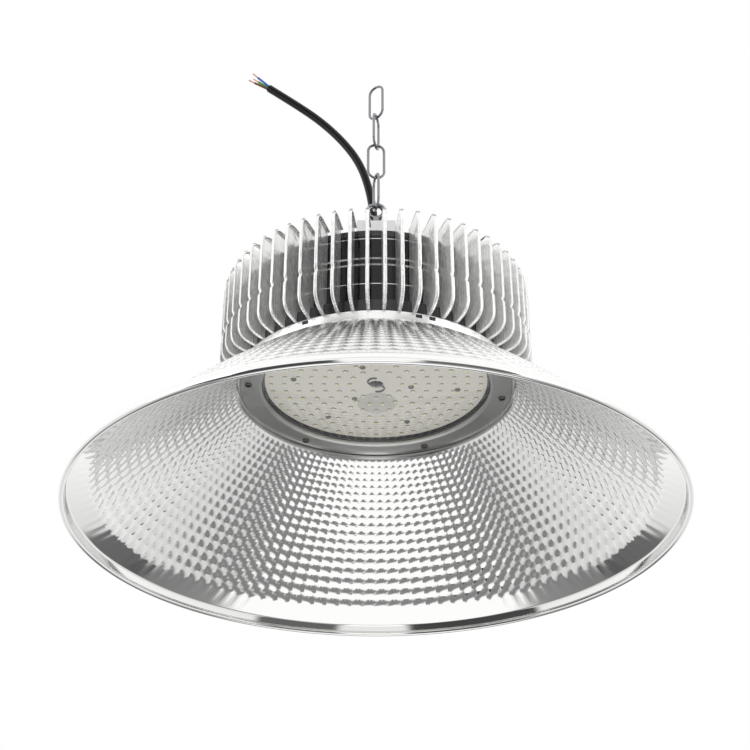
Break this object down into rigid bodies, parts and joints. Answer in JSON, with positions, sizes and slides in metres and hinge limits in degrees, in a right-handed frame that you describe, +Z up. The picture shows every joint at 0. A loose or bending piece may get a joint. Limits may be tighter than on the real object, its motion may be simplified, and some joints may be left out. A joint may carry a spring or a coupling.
{
  "type": "high bay light",
  "caption": "Industrial high bay light: stamped-fin heat sink, round LED board behind flat glass, wide embossed aluminium reflector, eye bolt with chain and a short supply cord.",
  "frame": {"origin": "middle of the circle on which the reflector's rim rests", "axes": "+Z up along the lamp's axis towards the chain, the lamp shines along -Z, front is -Y"},
  "size_m": [0.5, 0.5, 0.5037],
  "materials": {
    "spun_aluminium": "spun and embossed sheet, bright anodised",
    "satin_aluminium": "turned, satin",
    "zinc_steel": "bright zinc plated",
    "clear_glass": "clear tempered glass",
    "grey_silicone": "moulded silicone",
    "black_anodised": "turned casting, black anodised",
    "white_board": "white solder mask on an aluminium core",
    "phosphor": "phosphor silicone in a white package",
    "dark_wire": "PVC insulation",
    "bright_aluminium": "stamped sheet, polished",
    "gloss_black_paint": "gloss black",
    "potting_case": "plain extruded case, potted",
    "plated_strap": "bright zinc plated sheet",
    "bright_zinc": "polished and plated",
    "black_nylon": "moulded nylon",
    "black_rubber": "moulded rubber",
    "cord_rubber": "extruded rubber sheath",
    "brown_core": "PVC insulation",
    "blue_core": "PVC insulation",
    "green_core": "green and yellow PVC insulation",
    "bare_copper": "bright drawn wire"
  },
  "bodies": {
    "root": {"reflector": "spun_aluminium", "bezel_ring": "satin_aluminium", "bezel_screws": "zinc_steel", "glass_cover": "clear_glass", "glass_gasket": "grey_silicone", "base_plate": "black_anodised", "led_board": "white_board", "led_chips": "phosphor", "board_screws_outer": "zinc_steel", "board_screws_inner": "zinc_steel", "lead_wires": "dark_wire", "cooling_fins": "bright_aluminium", "core_drum": "gloss_black_paint", "top_cover": "black_anodised", "tie_screws": "zinc_steel", "led_driver": "potting_case", "driver_screws": "zinc_steel", "hanging_strap": "plated_strap", "strap_screws": "zinc_steel", "eye_bolt": "bright_zinc", "eye_washer": "zinc_steel", "eye_nut": "zinc_steel", "chain_link_1": "bright_zinc", "chain_link_2": "bright_zinc", "chain_link_3": "bright_zinc", "chain_link_4": "bright_zinc", "gland_body": "black_nylon", "gland_locknut": "black_nylon", "gland_nut": "black_nylon", "gland_seal": "black_rubber", "power_cord": "cord_rubber", "core_brown": "brown_core", "core_blue": "blue_core", "core_earth": "green_core", "core_tips": "bare_copper"}
  },
  "joints": []
}
